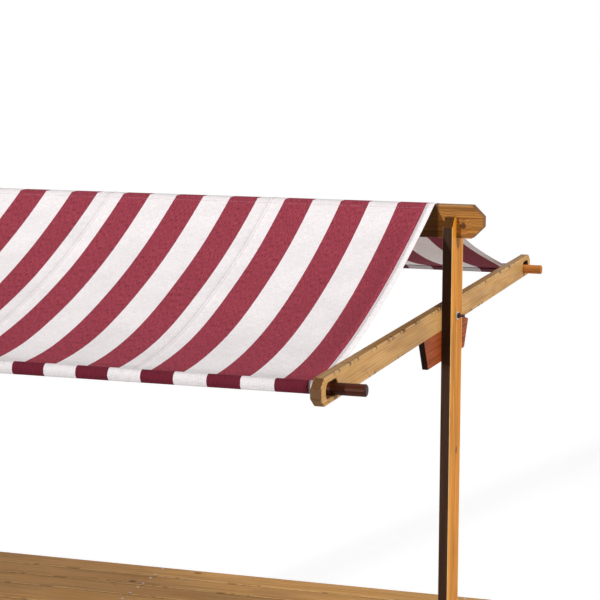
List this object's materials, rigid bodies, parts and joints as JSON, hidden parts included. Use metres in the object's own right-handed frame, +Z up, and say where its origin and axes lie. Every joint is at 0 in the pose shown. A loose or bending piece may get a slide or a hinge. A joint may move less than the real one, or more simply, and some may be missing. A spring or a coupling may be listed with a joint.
{
  "type": "wooden market stall",
  "caption": "Open timber market stall with a sagging striped canopy over a ridge plank, held on two forked posts, level arms and round poles, above a board counter.",
  "frame": {"origin": "on the ground, under the middle of the ridge: the centre of the bottom of the bounding box", "axes": "+X along the ridge to the right as a customer sees it, -Y towards the customers, +Z up"},
  "size_m": [2.684, 2.86, 2.353],
  "materials": {
    "post_wood": "stained and oiled softwood, satin",
    "arm_wood": "planed softwood, satin",
    "bracket_wood": "red-brown stained board, satin",
    "ridge_wood": "stained softwood, satin",
    "pole_wood": "round wooden pole, satin",
    "frame_wood": "planed softwood, satin",
    "counter_wood": "planed softwood boards, satin",
    "canvas": "striped woven canvas, matt",
    "steel": "zinc-plated steel"
  },
  "bodies": {
    "root": {"counter_board_front_1": "counter_wood", "counter_board_front_2": "counter_wood", "counter_board_front_3": "counter_wood", "counter_board_middle": "counter_wood", "counter_board_rear_1": "counter_wood", "counter_board_rear_2": "counter_wood", "counter_board_rear_3": "counter_wood", "front_apron": "frame_wood", "front_canopy": "canvas", "front_left_leg": "frame_wood", "front_pole": "pole_wood", "front_right_leg": "frame_wood", "left_arm": "arm_wood", "left_bearer": "frame_wood", "left_bolt": "steel", "left_bracket": "bracket_wood", "left_foot_rail": "frame_wood", "left_post": "post_wood", "middle_bearer": "frame_wood", "rear_apron": "frame_wood", "rear_canopy": "canvas", "rear_left_leg": "frame_wood", "rear_pole": "pole_wood", "rear_right_leg": "frame_wood", "ridge_plank": "ridge_wood", "right_arm": "arm_wood", "right_bearer": "frame_wood", "right_bolt": "steel", "right_bracket": "bracket_wood", "right_foot_rail": "frame_wood", "right_post": "post_wood", "stretcher": "frame_wood"}
  },
  "joints": []
}
